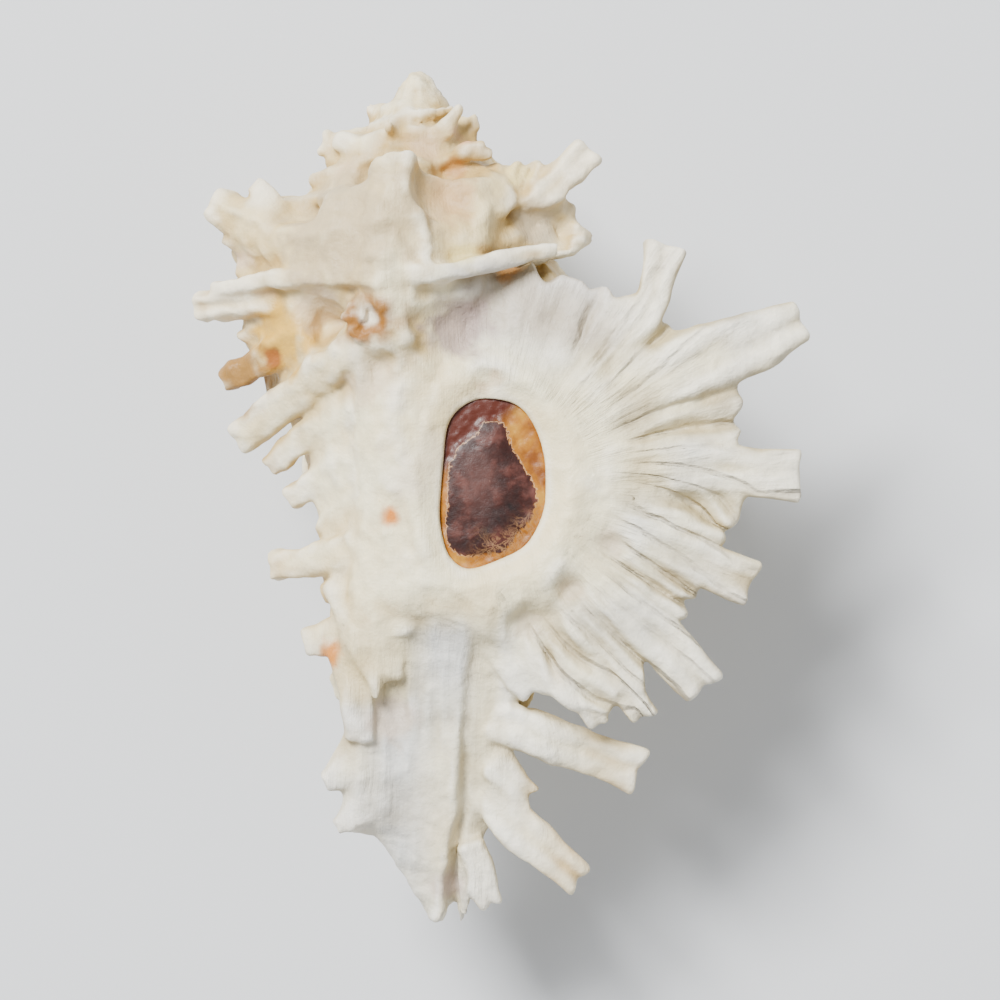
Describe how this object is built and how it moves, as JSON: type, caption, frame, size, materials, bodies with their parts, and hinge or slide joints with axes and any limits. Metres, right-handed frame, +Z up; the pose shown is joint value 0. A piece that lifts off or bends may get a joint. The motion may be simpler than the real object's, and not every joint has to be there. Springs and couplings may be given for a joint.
{
  "type": "murex shell",
  "caption": "Spiny sea snail shell lying mouth up, with blunt frond-like spines, a slit siphonal canal and a horny operculum closing the round mouth.",
  "frame": {"origin": "centre of the bounding box's bottom face, on the surface that the shell lies on", "axes": "+Y along the coil axis to the apex, +X to the outer lip, +Z up, out of the mouth"},
  "size_m": [0.0358, 0.0498, 0.0223],
  "materials": {
    "shell": "matte",
    "operculum": "gloss"
  },
  "bodies": {
    "root": {"shell": "shell", "operculum": "operculum"}
  },
  "joints": []
}
